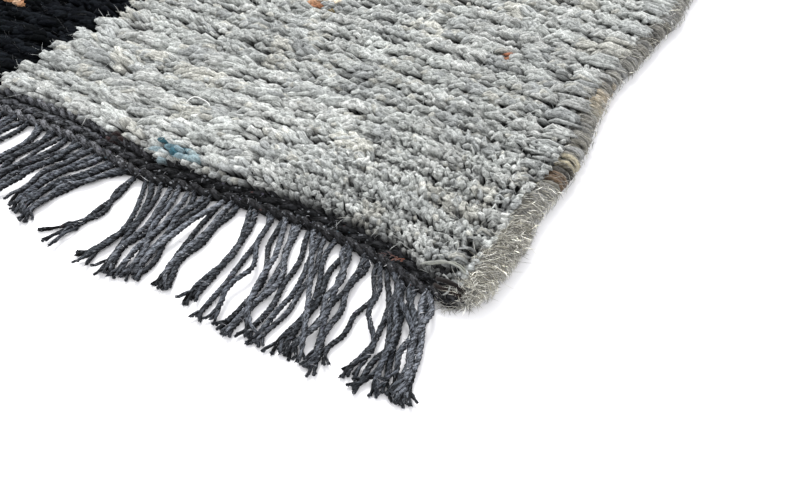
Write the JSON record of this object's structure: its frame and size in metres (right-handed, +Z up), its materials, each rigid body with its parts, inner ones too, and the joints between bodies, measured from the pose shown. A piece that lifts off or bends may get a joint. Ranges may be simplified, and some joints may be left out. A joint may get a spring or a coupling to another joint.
{
  "type": "nepalese rug",
  "caption": "Small hand-knotted rug of thick grey wool lying flat, with a near-black side block, raised rows of tufts, wool-wrapped sides, twined end cords and a plied charcoal fringe.",
  "frame": {"origin": "centre of the underside, on the floor", "axes": "+X across the rug, towards its right side seen from the front fringe; +Y along it, from the front fringe to the back one; +Z up out of the pile"},
  "size_m": [0.6104, 1.1238, 0.0236],
  "materials": {
    "pile_wool": "cut pile of thick plied wool, matte, light grey with a near-black block",
    "edge_wool": "coarse grey-beige wool wrapped round the edge, hairy and matte",
    "warp_yarn": "plied charcoal yarn with pale flecks, matte"
  },
  "bodies": {
    "root": {"pile_field": "pile_wool", "selvedge_right": "edge_wool", "selvedge_left": "edge_wool", "twining_front": "warp_yarn", "twining_back": "warp_yarn", "fringe_front": "warp_yarn", "fringe_back": "warp_yarn"}
  },
  "joints": []
}
